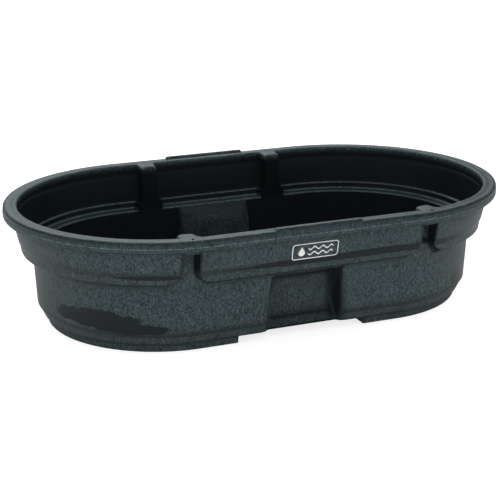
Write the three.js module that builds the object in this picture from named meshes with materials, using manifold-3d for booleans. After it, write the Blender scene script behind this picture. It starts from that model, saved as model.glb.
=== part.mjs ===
// Oval livestock water trough, moulded in one piece, with a screwed drain plug in its +X end.
// Millimetres, +Z up. The origin is the middle of the underside. +X is along the trough, and
// the label is on the -Y side.

import * as THREE from 'three';
import { mergeVertices } from 'three/addons/utils/BufferGeometryUtils.js';
import { ConvexGeometry } from 'three/addons/geometries/ConvexGeometry.js';
import Module from 'manifold-3d';

const wasm = await Module();
wasm.setup();

// ---- Driving dimensions ----

const LENGTH = 1321;            // over the rim
const WIDTH = 787;              // over the rim
const RIM_HEIGHT = 305;         // top of the rim above the ground
const WALL = 8;                 // wall and floor thickness
const END_FACETS = 36;          // facets round one end

const RIM_WIDTH = 36;           // outer edge to inner edge, seen from above
const RIM_CORNER = 8;           // rounding of the rim's two top edges
const LIP_DROP = 26;            // outer face of the rim, top to bottom
const LIP_SKIRT = 8;            // thickness of the rim's hanging skirt

const BAND_DROP = 14;           // the band's top lies this far below the lip
const BAND_HEIGHT = 76;         // wide upper band, underside to top
const BAND_STRIP = 17;          // height of the strip along the band's lower edge
const BAND_TOP_INSET = 25;      // band's face behind the rim's outer edge, at its top
const BAND_BOTTOM_INSET = 41.5; // the same, at its bottom
const STEP_DROP = 21;           // the ledge under the band falls by this much
const LOWER_TOP_INSET = 70.5;   // lower wall behind the rim's outer edge, at its top
const LOWER_BOTTOM_INSET = 77;  // the same, at its bottom crease
const CREASE_HEIGHT = 48;       // bottom crease of the lower wall
const FOOT_HEIGHT = 22;         // height of the feet and of the raised middle floor
const FOOT_TOP_INSET = 95;      // foot's outline at its top
const FOOT_BOTTOM_INSET = 102;  // foot's outline on the ground
const FOOT_GAP = 340;           // clear length between the two feet

const CHANNEL_WIDTH = 38;       // upright channel that breaks the band
const NEAR_CHANNEL_X = 314;     // channels of the label side, either side of the middle
const FAR_CHANNEL_X = 185;      // channels of the other side
const TONGUE_DROP = 2;          // rib tops lie this far below the rim's top
const DIMPLE_RADIUS = 3.5;      // round dimple in the rim behind each rib
const DIMPLE_DEPTH = 5;
const DIMPLE_INSET = 24;

const PAD_LENGTH = 232;         // raised pad on the rim, in the middle of each long side
const PAD_RISE = 6;             // above the rim's top
const PAD_WIDTH = 16;
const PAD_END_SLOPE = 6;
const PAD_GROOVE_WIDTH = 4;     // groove between the pad and the rim's inner crest
const PAD_GROOVE_DEPTH = 3;

const POCKET_RISE = 8;          // pocket's roof starts this far above the lower wall's top
const POCKET_HALF_WIDTH = 95;   // at the wall, under the band
const POCKET_FLARE = 10;        // wider by this much on each side at the bottom
const POCKET_DEPTH = 52;        // behind the lower wall's top
const POCKET_KNEE = 71;         // height where the back wall turns outward
const POCKET_SHOULDER = 28;     // the roof slopes down by this much
const POCKET_TOE = 18;          // the back wall comes out by this much below the knee
const POCKET_CORNER = 24;       // the roof's back corners are cut by this much

const LABEL_WIDTH = 122;
const LABEL_HEIGHT = 42;
const LABEL_THICKNESS = 0.6;
const LABEL_DROP = 27;          // its middle lies this far below the band's top

const DRAIN_HEIGHT = 70;        // axis of the drain above the ground
const BOSS_MARGIN = 14;         // boss round the tube
const BOSS_THICKNESS = 22;
const BOSS_RISE = 7;            // outer face beyond the wall at the drain's height
const SEAT_CLEARANCE = 2;       // flat inner seat beyond the washer
const TUBE_RADIUS = 18;         // bushing's tube
const TUBE_CLEARANCE = 0.6;     // round the tube in the boss, washers and nut
const FLANGE_MARGIN = 9;        // flange round the tube
const FLANGE_THICKNESS = 6;
const GASKET_THICKNESS = 3;
const WASHER_THICKNESS = 2.5;
const WASHER_MARGIN = 8;
const NUT_THICKNESS = 9;
const NUT_MARGIN = 4.5;         // nut's flats round the tube
const TUBE_OVERHANG = 5;        // tube beyond the nut
const THREAD_RADIUS = 11.8;     // round of the plug's knuckle thread
const THREAD_OFFSET = 0.9;      // half the thread's depth
const THREAD_PITCH = 5;
const THREAD_CLEARANCE = 0.4;
const THREAD_LENGTH = 23;       // plug's thread inside the bushing
const SEAL_THICKNESS = 2.5;
const HEAD_MARGIN = 9.2;        // plug's head round its thread
const HEAD_THICKNESS = 6;
const GRIP_HEIGHT = 15;         // wing grip beyond the head
const GRIP_WIDTH = 34;
const GRIP_THICKNESS = 9;
const ROUND_FACETS = 32;        // facets of the drain's round pieces
const THREAD_FACETS = 16;
const STEPS_PER_TURN = 8;
const GAP = 0.3;                // between pieces that rest on each other

// ---- Values worked out from them ----

const HALF_LENGTH = LENGTH / 2;
const HALF_WIDTH = WIDTH / 2;
const STRAIGHT = HALF_LENGTH - HALF_WIDTH;      // half the length of the straight sides
const LIP_BOTTOM = RIM_HEIGHT - LIP_DROP;
const BAND_TOP = LIP_BOTTOM - BAND_DROP;
const BAND_BOTTOM = BAND_TOP - BAND_HEIGHT;
const STRIP_TOP = BAND_BOTTOM + BAND_STRIP;
const LOWER_TOP = BAND_BOTTOM - STEP_DROP;
const POCKET_TOP = LOWER_TOP + POCKET_RISE;
const LABEL_CENTRE = BAND_TOP - LABEL_DROP;
const BOSS_RADIUS = TUBE_RADIUS + BOSS_MARGIN;
const FLANGE_RADIUS = TUBE_RADIUS + FLANGE_MARGIN;
const WASHER_RADIUS = TUBE_RADIUS + WASHER_MARGIN;
const NUT_ACROSS_FLATS = 2 * (TUBE_RADIUS + NUT_MARGIN);
const HEAD_RADIUS = THREAD_RADIUS + HEAD_MARGIN;
const FLOOR_TOP = WALL;
const RAISED_FLOOR_TOP = FOOT_HEIGHT + WALL;
const FAR_OUT = LENGTH;                         // longer than anything that is cut

// Distance behind the rim's outer edge of the band's plain face at a height.
function bandInset(height) {
  const share = (BAND_TOP - height) / (BAND_TOP - BAND_BOTTOM);
  return BAND_TOP_INSET + share * (BAND_BOTTOM_INSET - BAND_TOP_INSET);
}

// The same for the lower wall, whose slope runs on upward behind the band.
function lowerInset(height) {
  const share = (LOWER_TOP - height) / (LOWER_TOP - CREASE_HEIGHT);
  return LOWER_TOP_INSET + share * (LOWER_BOTTOM_INSET - LOWER_TOP_INSET);
}

// ---- Solids ----

function toSolid(geometry) {
  const bare = geometry.clone();
  bare.deleteAttribute('normal');
  bare.deleteAttribute('uv');
  const merged = mergeVertices(bare, 1e-4);
  const index = merged.index.array;
  const kept = [];
  for (let i = 0; i < index.length; i += 3) {
    const [a, b, c] = [index[i], index[i + 1], index[i + 2]];
    if (a !== b && b !== c && c !== a) kept.push(a, b, c);
  }
  return new wasm.Manifold(new wasm.Mesh({
    numProp: 3,
    vertProperties: new Float32Array(merged.attributes.position.array),
    triVerts: new Uint32Array(kept),
  }));
}

function toGeometry(solid) {
  const mesh = solid.getMesh();
  const geometry = new THREE.BufferGeometry();
  geometry.setAttribute('position', new THREE.BufferAttribute(mesh.vertProperties, 3));
  geometry.setIndex(new THREE.BufferAttribute(mesh.triVerts, 1));
  const flat = geometry.toNonIndexed();
  flat.computeVertexNormals();
  return flat;
}

// A box between two corners.
function box(from, to) {
  const size = to.map((value, i) => value - from[i]);
  const geometry = new THREE.BoxGeometry(...size);
  geometry.translate(...from.map((value, i) => value + size[i] / 2));
  return toSolid(geometry);
}

// An oval solid from a profile of [inset, height] points, listed from the bottom up. It is a
// turned solid whose two halves are moved apart along X, so both ends are true half rounds.
function oval(profile) {
  const halfStep = Math.PI / (2 * END_FACETS);
  const points = profile.map(
    ([inset, height]) => new THREE.Vector2((HALF_WIDTH - inset) / Math.cos(halfStep), height));
  points.unshift(new THREE.Vector2(0, profile[0][1]));
  points.push(new THREE.Vector2(0, profile.at(-1)[1]));
  const geometry = new THREE.LatheGeometry(points, 2 * END_FACETS, halfStep, 2 * Math.PI);
  geometry.rotateX(Math.PI / 2);
  const position = geometry.attributes.position;
  for (let i = 0; i < position.count; i += 1) {
    const x = position.getX(i);
    if (Math.abs(x) > 1e-3) position.setX(i, x + Math.sign(x) * STRAIGHT);
  }
  return toSolid(geometry);
}

// A round bar or ring along +X, centred on the drain's axis.
function round(radius, from, to, facets = ROUND_FACETS) {
  const geometry = new THREE.CylinderGeometry(radius, radius, to - from, facets);
  geometry.rotateZ(-Math.PI / 2);
  geometry.rotateX(Math.PI / facets);
  geometry.translate((from + to) / 2, 0, DRAIN_HEIGHT);
  return toSolid(geometry);
}

function ring(outerRadius, innerRadius, from, to) {
  return round(outerRadius, from, to).subtract(round(innerRadius, from - 1, to + 1));
}

// A knuckle thread: a round bar whose centre circles the axis once in each pitch, at half the
// thread's depth.
function threadedBar(radius, from, to) {
  const length = to - from;
  const steps = Math.ceil(length / THREAD_PITCH * STEPS_PER_TURN);
  const geometry = new THREE.CylinderGeometry(radius, radius, length, THREAD_FACETS, steps);
  geometry.rotateZ(-Math.PI / 2);
  geometry.translate((from + to) / 2, 0, DRAIN_HEIGHT);
  const position = geometry.attributes.position;
  for (let i = 0; i < position.count; i += 1) {
    const turn = 2 * Math.PI * position.getX(i) / THREAD_PITCH;
    position.setY(i, position.getY(i) + THREAD_OFFSET * Math.cos(turn));
    position.setZ(i, position.getZ(i) + THREAD_OFFSET * Math.sin(turn));
  }
  return toSolid(geometry);
}

// ---- The moulded tank ----

// Points of a quarter round between two edges of the rim's top.
function rimCorner(inset, side) {
  const points = [];
  for (let i = 0; i <= 3; i += 1) {
    const angle = i / 3 * Math.PI / 2;
    points.push([
      inset + side * RIM_CORNER * (1 - Math.cos(angle)),
      RIM_HEIGHT - RIM_CORNER * (1 - Math.sin(angle)),
    ]);
  }
  return side > 0 ? points : points.reverse();
}

function outerProfile() {
  return [
    [FOOT_BOTTOM_INSET, 0],
    [FOOT_TOP_INSET, FOOT_HEIGHT],
    [LOWER_BOTTOM_INSET, CREASE_HEIGHT],
    [LOWER_TOP_INSET, LOWER_TOP],
    [BAND_BOTTOM_INSET, BAND_BOTTOM],
    [bandInset(STRIP_TOP) + 2, STRIP_TOP],
    [bandInset(STRIP_TOP + 11), STRIP_TOP + 11],
    [BAND_TOP_INSET, BAND_TOP],
    [0, LIP_BOTTOM],
    ...rimCorner(0, 1),
    [RIM_WIDTH, RIM_HEIGHT],
  ];
}

function cavityProfile() {
  return [
    [FOOT_BOTTOM_INSET + WALL, FLOOR_TOP],
    [FOOT_TOP_INSET + WALL, RAISED_FLOOR_TOP],
    [LOWER_BOTTOM_INSET + WALL, CREASE_HEIGHT + WALL / 2],
    [LOWER_TOP_INSET + WALL, LOWER_TOP + WALL],
    [BAND_BOTTOM_INSET + 2 * WALL, BAND_BOTTOM - WALL / 2],
    [BAND_BOTTOM_INSET + 1.5 * WALL, BAND_BOTTOM + WALL / 2],
    [bandInset(STRIP_TOP) + 1.3 * WALL, STRIP_TOP - 2],
    [RIM_WIDTH, BAND_TOP],
    ...rimCorner(RIM_WIDTH, -1).reverse(),
    [RIM_WIDTH - RIM_CORNER, RIM_HEIGHT + PAD_RISE + 1],
  ];
}

// The lower wall carried straight up to the rim: channels are cut to it, ribs are filled to it.
function core(thickness, bottom) {
  return oval([
    [lowerInset(bottom) + thickness, bottom],
    [lowerInset(RIM_HEIGHT + 2) + thickness, RIM_HEIGHT + 2],
  ]);
}

// Places along the sides: a sign for the side and a place along X.
const CHANNELS = [-1, 1].flatMap((end) => [
  { side: -1, x: end * NEAR_CHANNEL_X },
  { side: 1, x: end * FAR_CHANNEL_X },
]);

function sideBox(side, x, halfWidth, bottom, top) {
  const ys = [0, side * FAR_OUT].sort((a, b) => a - b);
  return box([x - halfWidth, ys[0], bottom], [x + halfWidth, ys[1], top]);
}

// A box across the whole width, from below the ground up to a height.
function acrossBox(halfLength, top) {
  return box([-halfLength, -FAR_OUT, -1], [halfLength, FAR_OUT, top]);
}

// The pocket's outline, made larger all over by the wall for the block inside the trough.
function pocketHull(side, growth) {
  const wallFace = HALF_WIDTH - LOWER_TOP_INSET + 30;
  const back = HALF_WIDTH - LOWER_TOP_INSET - POCKET_DEPTH - growth;
  const shoulder = POCKET_TOP - POCKET_SHOULDER + growth;
  const atTop = POCKET_HALF_WIDTH + growth;
  const atBottom = atTop + POCKET_FLARE;
  const corner = atTop - POCKET_CORNER;
  const points = [];
  for (const end of [-1, 1]) {
    points.push(
      [end * atTop, wallFace, POCKET_TOP + growth + 30 * POCKET_SHOULDER / POCKET_DEPTH],
      [end * atBottom, wallFace, -1],
      [end * corner, back + 4, shoulder],
      [end * (atTop - 8), back, POCKET_KNEE],
      [end * atTop, back + POCKET_TOE * (POCKET_KNEE + 1) / (POCKET_KNEE - FOOT_HEIGHT), -1],
    );
  }
  const corners = points.map(([x, y, z]) => new THREE.Vector3(x, side * y, z));
  return toSolid(new ConvexGeometry(corners));
}

// Everything over the ledge, where the pockets stop.
function aboveBand(growth = 0) {
  return box([-FAR_OUT, -FAR_OUT, POCKET_TOP + growth], [FAR_OUT, FAR_OUT, FAR_OUT]);
}

// A raised pad with sloping ends, lying along the rim's outer edge.
function rimPad(side) {
  const half = PAD_LENGTH / 2;
  const outline = new THREE.Shape([
    new THREE.Vector2(-half, RIM_HEIGHT - RIM_CORNER),
    new THREE.Vector2(half, RIM_HEIGHT - RIM_CORNER),
    new THREE.Vector2(half, RIM_HEIGHT),
    new THREE.Vector2(half - PAD_END_SLOPE, RIM_HEIGHT + PAD_RISE),
    new THREE.Vector2(PAD_END_SLOPE - half, RIM_HEIGHT + PAD_RISE),
    new THREE.Vector2(-half, RIM_HEIGHT),
  ]);
  const geometry = new THREE.ExtrudeGeometry(outline, { depth: PAD_WIDTH, bevelEnabled: false });
  geometry.rotateX(Math.PI / 2);
  geometry.translate(0, side > 0 ? HALF_WIDTH : PAD_WIDTH - HALF_WIDTH, 0);
  return toSolid(geometry);
}

function padGroove(side) {
  const outer = HALF_WIDTH - PAD_WIDTH;
  const ys = [side * outer, side * (outer - PAD_GROOVE_WIDTH)].sort((a, b) => a - b);
  const half = PAD_LENGTH / 2;
  return box(
    [-half, ys[0], RIM_HEIGHT - PAD_GROOVE_DEPTH],
    [half, ys[1], RIM_HEIGHT + PAD_RISE + 1]);
}

function dimple({ side, x }) {
  const height = 2 * DIMPLE_DEPTH;
  const geometry = new THREE.CylinderGeometry(DIMPLE_RADIUS, DIMPLE_RADIUS, height, 12);
  geometry.rotateX(Math.PI / 2);
  geometry.translate(x, side * (HALF_WIDTH - DIMPLE_INSET), RIM_HEIGHT);
  return toSolid(geometry);
}

// The hollow under the rim, between its hanging skirt and the band.
function lipHollow() {
  const bottom = BAND_TOP - 9;
  const top = RIM_HEIGHT - WALL;
  const inner = bandInset(bottom);
  const whole = oval([[LIP_SKIRT, bottom], [LIP_SKIRT, top]]);
  return whole.subtract(oval([[inner, bottom - 1], [inner, top + 1]]));
}

const BOSS_OUTER = HALF_LENGTH - lowerInset(DRAIN_HEIGHT) + BOSS_RISE;
const BOSS_INNER = BOSS_OUTER - BOSS_THICKNESS;

function tankSolid() {
  let outside = oval(outerProfile());
  let inside = oval(cavityProfile());
  const outerCore = core(0, 0);
  const innerCore = core(WALL, 0);
  const half = CHANNEL_WIDTH / 2;
  for (const place of CHANNELS) {
    const recess = sideBox(place.side, place.x, half, CREASE_HEIGHT, BAND_TOP);
    const rib = sideBox(
      place.side, place.x, half + WALL, LOWER_TOP - WALL, RIM_HEIGHT - TONGUE_DROP);
    outside = outside.subtract(recess.subtract(outerCore));
    inside = inside.subtract(rib.subtract(innerCore));
  }
  outside = outside.subtract(lipHollow());
  outside = outside.subtract(acrossBox(FOOT_GAP / 2, FOOT_HEIGHT));
  inside = inside.subtract(acrossBox(FOOT_GAP / 2 + WALL, RAISED_FLOOR_TOP));
  for (const side of [-1, 1]) {
    outside = outside.subtract(pocketHull(side, 0).subtract(aboveBand()));
    inside = inside.subtract(pocketHull(side, WALL).subtract(aboveBand(WALL)));
    outside = outside.add(rimPad(side)).subtract(padGroove(side));
  }
  outside = outside.add(round(BOSS_RADIUS, BOSS_INNER, BOSS_OUTER));
  inside = inside.subtract(round(BOSS_RADIUS, BOSS_INNER, BOSS_OUTER));
  let body = outside.subtract(inside);
  for (const place of CHANNELS) body = body.subtract(dimple(place));
  const seat = WASHER_RADIUS + SEAT_CLEARANCE;
  body = body.subtract(round(seat, BOSS_INNER - 40, BOSS_INNER));
  return body.subtract(round(TUBE_RADIUS + TUBE_CLEARANCE, BOSS_INNER - 1, BOSS_OUTER + 1));
}

// ---- The drain ----

const GASKET_START = BOSS_OUTER + GAP;
const FLANGE_START = GASKET_START + GASKET_THICKNESS + GAP;
const FLANGE_END = FLANGE_START + FLANGE_THICKNESS;
const WASHER_END = BOSS_INNER - GAP;
const NUT_END = WASHER_END - WASHER_THICKNESS - GAP;
const TUBE_START = NUT_END - NUT_THICKNESS - TUBE_OVERHANG;
const SEAL_START = FLANGE_END + GAP;
const HEAD_START = SEAL_START + SEAL_THICKNESS + GAP;
const HEAD_END = HEAD_START + HEAD_THICKNESS;
const FITTED_RADIUS = TUBE_RADIUS + TUBE_CLEARANCE;
const THREAD_REACH = THREAD_RADIUS + THREAD_OFFSET;

function bushingSolid() {
  const body = round(TUBE_RADIUS, TUBE_START, FLANGE_START)
    .add(round(FLANGE_RADIUS, FLANGE_START, FLANGE_END));
  const threadStart = FLANGE_END - THREAD_LENGTH - THREAD_PITCH;
  const thread = threadedBar(THREAD_RADIUS + THREAD_CLEARANCE, threadStart, FLANGE_END + 1);
  const bore = round(THREAD_REACH + THREAD_CLEARANCE, TUBE_START - 1, threadStart + 1);
  return body.subtract(bore).subtract(thread);
}

function nutSolid() {
  const cornerRadius = NUT_ACROSS_FLATS / 2 / Math.cos(Math.PI / 6);
  return round(cornerRadius, NUT_END - NUT_THICKNESS, NUT_END, 6)
    .subtract(round(FITTED_RADIUS, NUT_END - NUT_THICKNESS - 1, NUT_END + 1));
}

function plugSolid() {
  const neck = round(THREAD_RADIUS - THREAD_OFFSET, FLANGE_END - 3, HEAD_START + 1);
  const grip = box(
    [HEAD_END - 1, -GRIP_WIDTH / 2, DRAIN_HEIGHT - GRIP_THICKNESS / 2],
    [HEAD_END + GRIP_HEIGHT, GRIP_WIDTH / 2, DRAIN_HEIGHT + GRIP_THICKNESS / 2]);
  return threadedBar(THREAD_RADIUS, FLANGE_END - THREAD_LENGTH, FLANGE_END - 2)
    .add(neck)
    .add(round(HEAD_RADIUS, HEAD_START, HEAD_END))
    .add(grip);
}

// ---- The label, a thin plate lying on the band's sloping face ----

function labelGeometry() {
  const slope = Math.atan2(bandInset(0) - bandInset(100), 100);
  const geometry = new THREE.BoxGeometry(LABEL_WIDTH, LABEL_THICKNESS, LABEL_HEIGHT);
  geometry.translate(0, -GAP - LABEL_THICKNESS / 2, 0);
  geometry.rotateX(slope);
  geometry.translate(0, bandInset(LABEL_CENTRE) - HALF_WIDTH, LABEL_CENTRE);
  return geometry;
}

// ---- The assembled trough ----

const MATERIALS = {
  foam: { color: 0x3c4443, roughness: 0.6, metalness: 0 },
  fitting: { color: 0x2a2c2e, roughness: 0.45, metalness: 0 },
  plug: { color: 0x8e2f25, roughness: 0.45, metalness: 0 },
  rubber: { color: 0x1b1b1c, roughness: 0.85, metalness: 0 },
  label: { color: 0xe6e8e6, roughness: 0.5, metalness: 0 },
};

const trough = new THREE.Group();

function addPiece(name, material, geometry) {
  const mesh = new THREE.Mesh(geometry, new THREE.MeshStandardMaterial(MATERIALS[material]));
  mesh.name = name;
  trough.add(mesh);
}

addPiece('tank_body', 'foam', toGeometry(tankSolid()));
addPiece('label', 'label', labelGeometry());
addPiece('drain_bushing', 'fitting', toGeometry(bushingSolid()));
addPiece('drain_gasket', 'rubber', toGeometry(
  ring(FLANGE_RADIUS, FITTED_RADIUS, GASKET_START, GASKET_START + GASKET_THICKNESS)));
addPiece('drain_washer', 'rubber', toGeometry(
  ring(WASHER_RADIUS, FITTED_RADIUS, WASHER_END - WASHER_THICKNESS, WASHER_END)));
addPiece('drain_locknut', 'fitting', toGeometry(nutSolid()));
addPiece('drain_plug', 'plug', toGeometry(plugSolid()));
addPiece('plug_seal', 'rubber', toGeometry(
  ring(HEAD_RADIUS - 1, THREAD_REACH, SEAL_START, SEAL_START + SEAL_THICKNESS)));

export default trough;
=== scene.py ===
# %% [markdown]
# # An oval water trough for livestock
#
# The trough is one thick moulding in black structural foam, a plastic with tiny bubbles inside
# and a streaky, satin skin. A drain fitting with a red screwed plug sits low in one end. The
# solid model is loaded first as a fixed frame. Everything after it is about looks: a finer skin
# for the moulding, rounded fittings, a printed mark, and their finishes.

# %% Load the frame
import math

import bpy
import numpy as np
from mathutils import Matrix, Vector


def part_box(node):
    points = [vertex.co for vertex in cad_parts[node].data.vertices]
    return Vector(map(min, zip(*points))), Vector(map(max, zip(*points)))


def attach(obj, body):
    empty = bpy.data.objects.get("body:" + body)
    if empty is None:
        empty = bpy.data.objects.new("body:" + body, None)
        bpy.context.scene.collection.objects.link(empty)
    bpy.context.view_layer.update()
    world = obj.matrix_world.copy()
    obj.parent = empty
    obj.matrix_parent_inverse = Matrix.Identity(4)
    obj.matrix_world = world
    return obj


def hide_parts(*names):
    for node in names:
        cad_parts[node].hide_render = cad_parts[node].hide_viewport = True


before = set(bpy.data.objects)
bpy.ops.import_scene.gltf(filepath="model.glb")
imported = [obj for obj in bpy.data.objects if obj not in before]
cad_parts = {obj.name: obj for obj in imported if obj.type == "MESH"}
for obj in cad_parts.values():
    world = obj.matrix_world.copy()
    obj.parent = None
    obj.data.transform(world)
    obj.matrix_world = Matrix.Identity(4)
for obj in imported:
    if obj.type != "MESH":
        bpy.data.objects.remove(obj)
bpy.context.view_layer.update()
bpy.ops.object.select_all(action="DESELECT")
MM = 0.001

# %% [markdown]
# ## The camera
#
# The camera comes first, so that each step can be judged in the same view. It stands a few
# metres off, a little above the rim and left of the middle, with a long lens, so the trough's
# far side is only slightly smaller than its near side. `shift_x` and `shift_y` slide the frame a
# little without turning the camera.

# %% Camera
CAMERA_AZIMUTH = math.radians(-23.0)
CAMERA_ELEVATION = math.radians(17.26)
CAMERA_DISTANCE = 3.649
CAMERA_TARGET = Vector((0, 0, 0.15))
flat_reach = math.cos(CAMERA_ELEVATION)
toward_camera = Vector((
    math.sin(CAMERA_AZIMUTH) * flat_reach,
    -math.cos(CAMERA_AZIMUTH) * flat_reach,
    math.sin(CAMERA_ELEVATION),
))
camera_data = bpy.data.cameras.new("camera")
camera_data.lens = 99.48
camera_data.sensor_width = 36
camera_data.shift_x = -0.0124
camera_data.shift_y = -0.0125
camera = bpy.data.objects.new("camera", camera_data)
camera.location = CAMERA_TARGET + toward_camera * CAMERA_DISTANCE
camera.rotation_euler = (-toward_camera).to_track_quat("-Z", "Y").to_euler()
bpy.context.collection.objects.link(camera)
bpy.context.scene.camera = camera
print("camera at", [round(value, 3) for value in camera.location])

# %% [markdown]
# ## Floor and light
#
# The trough stands on a light table, a pale floor that glows a little, under a plain white sky.
# Soft light comes from all round, so there is hardly a shadow. Dark plastic shows itself mostly
# by what it mirrors, and a white room would turn it grey. Reflections therefore see a dark table
# and a dim room that is palest at the horizon. A Light Path node tells the two kinds of ray
# apart. One long soft lamp, above and behind, lights the rim and the floor inside.

# %% Floor
TABLE_SIZE, TABLE_DROP = 60, 0.6 * MM
TABLE_GLOW, TABLE_MIRRORED = 0.78, 0.0
bpy.ops.mesh.primitive_plane_add(size=TABLE_SIZE, location=(0, 0, -TABLE_DROP))
floor = bpy.context.object
floor.name = "floor"
table = bpy.data.materials.new("light_table")
table.use_nodes = True
table_tree = table.node_tree
table_shader = table_tree.nodes["Principled BSDF"]
table_shader.inputs["Base Color"].default_value = (0.5, 0.5, 0.5, 1)
table_shader.inputs["Roughness"].default_value = 0.9
table_shader.inputs["Specular IOR Level"].default_value = 0.0
table_shader.inputs["Emission Color"].default_value = (1, 1, 1, 1)
mirrored = table_tree.nodes.new("ShaderNodeLightPath").outputs["Is Glossy Ray"]
glow = table_tree.nodes.new("ShaderNodeMapRange")
glow.inputs["To Min"].default_value = TABLE_GLOW
glow.inputs["To Max"].default_value = TABLE_MIRRORED
table_tree.links.new(mirrored, glow.inputs["Value"])
table_tree.links.new(glow.outputs["Result"], table_shader.inputs["Emission Strength"])
floor.data.materials.append(table)
print("light table:", TABLE_SIZE, "m wide")

# %% Sky
SKY_LIGHT = 1.0
ROOM_STOPS = [(0.0, 0.28), (0.15, 0.2), (0.3, 0.03), (0.7, 0.02), (1.0, 0.02)]
world = bpy.data.worlds.new("studio")
world.use_nodes = True
bpy.context.scene.world = world
sky = world.node_tree
light_path = sky.nodes.new("ShaderNodeLightPath")
direction = sky.nodes.new("ShaderNodeTexCoord")
split = sky.nodes.new("ShaderNodeSeparateXYZ")
sky.links.new(direction.outputs["Generated"], split.inputs[0])
room = sky.nodes.new("ShaderNodeValToRGB")
sky.links.new(split.outputs["Z"], room.inputs["Fac"])
while len(room.color_ramp.elements) < len(ROOM_STOPS):
    room.color_ramp.elements.new(0.5)
for element, (position, grey) in zip(room.color_ramp.elements, ROOM_STOPS):
    element.position = position
    element.color = (grey, grey, grey, 1)
choice = sky.nodes.new("ShaderNodeMix")
choice.data_type = "RGBA"
choice.inputs[6].default_value = (SKY_LIGHT, SKY_LIGHT, SKY_LIGHT, 1)
sky.links.new(light_path.outputs["Is Glossy Ray"], choice.inputs["Factor"])
sky.links.new(room.outputs["Color"], choice.inputs[7])
sky.links.new(choice.outputs[2], sky.nodes["Background"].inputs["Color"])
bpy.context.scene.view_settings.view_transform = "Standard"
print("sky nodes:", len(sky.nodes))


# %% A long soft lamp
def add_lamp(name, place, aim, length, width, power):
    """A long soft lamp that points at a place."""
    lamp_data = bpy.data.lights.new(name, "AREA")
    lamp_data.shape = "RECTANGLE"
    lamp_data.size = length
    lamp_data.size_y = width
    lamp_data.energy = power
    lamp = bpy.data.objects.new(name, lamp_data)
    lamp.location = place
    lamp.rotation_euler = (Vector(aim) - Vector(place)).to_track_quat("-Z", "Y").to_euler()
    bpy.context.collection.objects.link(lamp)


add_lamp("overhead_lamp", (0.5, 2.7, 2.2), (0, 0, 0.2), length=3.0, width=1.0, power=44)
bpy.ops.object.select_all(action="DESELECT")

# %% [markdown]
# ## The moulding's sizes
#
# A section through the wall tells most of the shape. *Inset* is how far a point lies behind the
# rim's outer edge, and *height* is above the ground. The same section runs round both half-round
# ends and along both straight sides. The overall sizes are read from the solid model.

# %% Sizes in metres
tank_low, tank_high = (Vector(corner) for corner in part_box("tank_body"))
HALF_LENGTH = tank_high.x
HALF_WIDTH = tank_high.y
STRAIGHT = HALF_LENGTH - HALF_WIDTH
WALL = 8 * MM
PAD_RISE = 6 * MM
RIM_TOP = tank_high.z - PAD_RISE
RIM_WIDTH = 36 * MM
LIP_BOTTOM = RIM_TOP - 26 * MM
BAND_TOP = LIP_BOTTOM - 14 * MM
BAND_BOTTOM = 189 * MM
STRIP_TOP = BAND_BOTTOM + 17 * MM
LOWER_TOP = BAND_BOTTOM - 21 * MM
CREASE = 48 * MM
FOOT = 22 * MM
RAISED_FLOOR = FOOT + WALL


def slanted(height, bottom, bottom_inset, top, top_inset):
    """Inset at a height of a straight slope between two given points of the section."""
    share = (height - bottom) / (top - bottom)
    return bottom_inset + share * (top_inset - bottom_inset)


def band_inset(height):
    """The band's outer face."""
    return slanted(height, BAND_BOTTOM, 41.5 * MM, BAND_TOP, 25 * MM)


def lower_inset(height):
    """The lower wall's outer face, carried on upward behind the band."""
    return slanted(height, CREASE, 77 * MM, LOWER_TOP, 70.5 * MM)


print("straight part of each side:", round(2 * STRAIGHT, 3), "m")

# %% [markdown]
# ## Round corners on a line
#
# A moulding has no knife edges: plastic can't fill one, and the part would stick in the mould.
# So each corner of a section is swapped for a short arc that touches both its edges. Each
# corner is written as (a, b, radius, pieces), where *pieces* says how many equal parts the
# straight before it is cut into.

# %% A line with round corners
def rounded_line(corners):
    """Points of a line through (a, b, radius, pieces) corners."""
    points = [Vector(corners[0][:2])]
    for before, here, after in zip(corners, corners[1:], corners[2:] + [corners[-1]]):
        corner = Vector(here[:2])
        radius, pieces = here[2:]
        arc = [corner]
        back = Vector(before[:2]) - corner
        ahead = Vector(after[:2]) - corner
        if radius > 0 and ahead.length > 0:
            half_angle = back.angle(ahead) / 2
            reach = min(radius / math.tan(half_angle), 0.48 * back.length, 0.48 * ahead.length)
            start = corner + back.normalized() * reach
            end = corner + ahead.normalized() * reach
            across = (back.normalized() + ahead.normalized()).normalized()
            centre = corner + across * (reach / math.cos(half_angle))
            steps = max(1, math.ceil((math.pi - 2 * half_angle) / math.radians(26)))
            arc = [centre + (start.lerp(end, step / steps) - centre).normalized()
                   * (start - centre).length for step in range(steps + 1)]
        first = points[-1]
        points += [first.lerp(arc[0], (step + 1) / pieces) for step in range(pieces - 1)]
        points += arc
    return np.array([tuple(point) for point in points])


print("a rounded right angle has", len(rounded_line([(0, 0, 0, 1), (9, 0, 4, 2), (9, 9, 0, 2)])),
      "points")

# %% [markdown]
# ## The section through the wall
#
# The line starts under the trough, runs out round the foot and up the lower wall, out along the
# ledge, up the band, in and out of the hollow under the lip, over the rim, and down the inside
# to the floor. Small steps at the crease and on the lip are there because they catch light and
# draw the thin lines that such a tank shows. Millimetres read more easily here.

# %% The section, in millimetres
LEDGE_OUT, LEDGE_IN = 188.5, 188
CREST = 24


def lower_mm(height):
    return lower_inset(height * MM) / MM


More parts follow.
